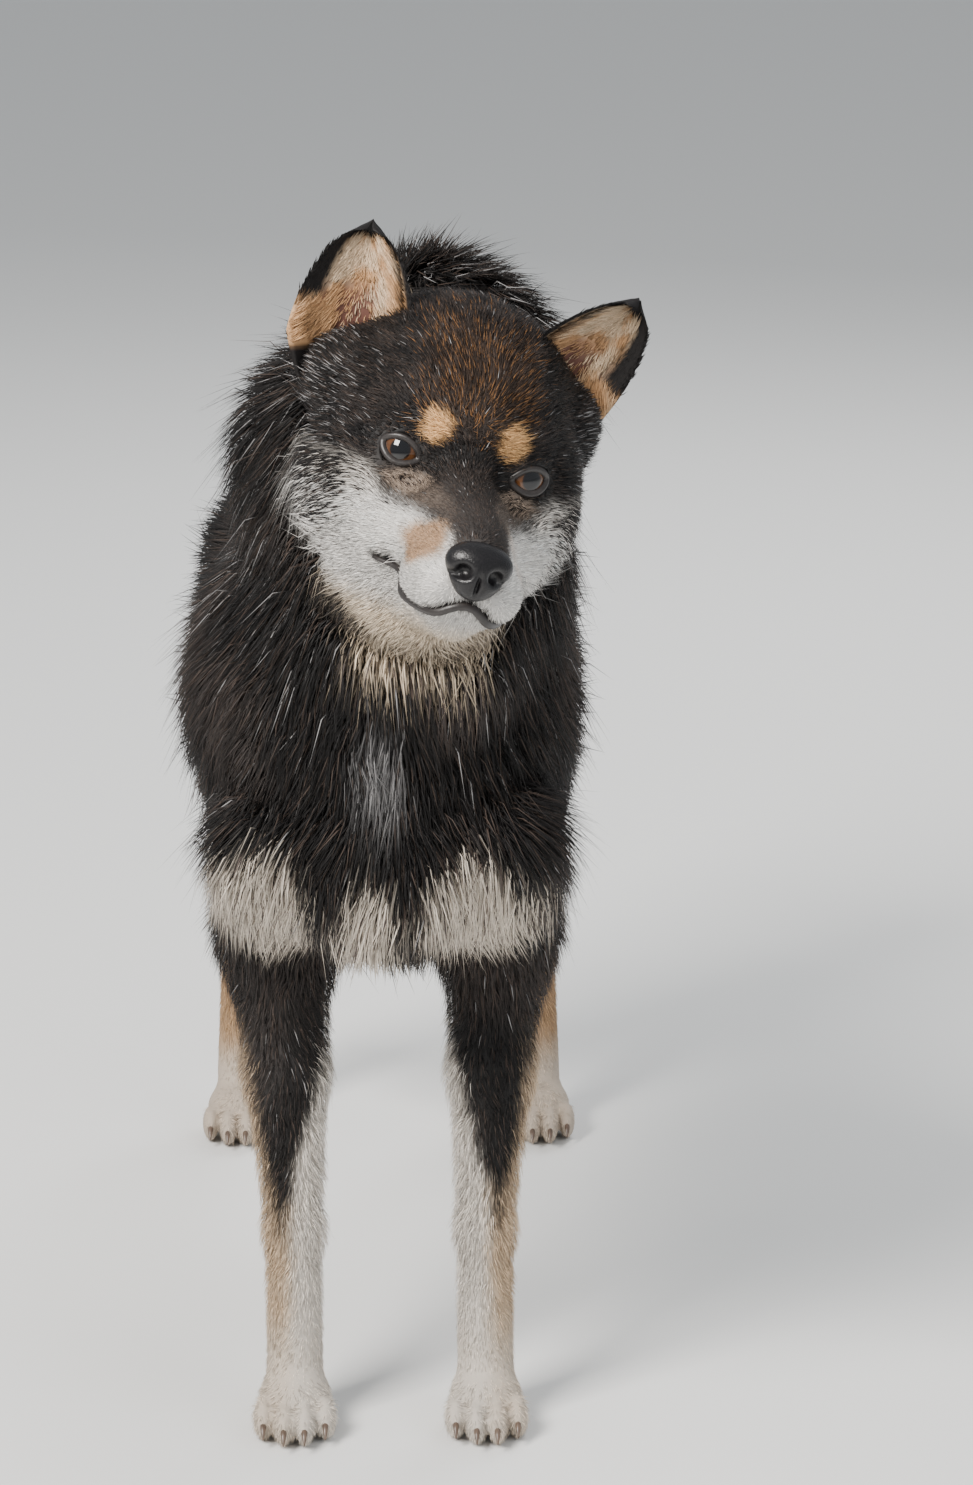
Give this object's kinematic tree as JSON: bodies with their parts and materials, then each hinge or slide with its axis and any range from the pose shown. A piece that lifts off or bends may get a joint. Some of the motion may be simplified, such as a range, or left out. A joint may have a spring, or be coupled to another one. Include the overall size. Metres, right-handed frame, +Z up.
{
  "type": "shiba inu standing",
  "caption": "Life-size standing shiba inu, black and tan, head tilted, ears pricked and tail curled over its back.",
  "frame": {"origin": "on the floor, in the middle of the model's footprint box", "axes": "-Y is where the chest faces, +X is the dog's left, +Z is up"},
  "size_m": [0.2118, 0.6116, 0.5533],
  "materials": {
    "dark_coat": "matte",
    "pale_coat": "matte",
    "nose_leather": "satin",
    "eye": "gloss"
  },
  "bodies": {
    "root": {"ear_left": "dark_coat", "ear_right": "dark_coat", "eye_left": "eye", "eye_right": "eye", "forearm_left": "dark_coat", "forearm_right": "dark_coat", "forepaw_left": "pale_coat", "forepaw_right": "pale_coat", "head": "dark_coat", "hind_pastern_left": "pale_coat", "hind_pastern_right": "pale_coat", "hind_paw_left": "pale_coat", "hind_paw_right": "pale_coat", "neck": "dark_coat", "nose": "nose_leather", "shank_left": "pale_coat", "shank_right": "pale_coat", "shoulder_left": "dark_coat", "shoulder_right": "dark_coat", "tail_base": "dark_coat", "tail_middle": "dark_coat", "tail_tip": "dark_coat", "thigh_left": "dark_coat", "thigh_right": "dark_coat", "torso": "dark_coat"}
  },
  "joints": []
}
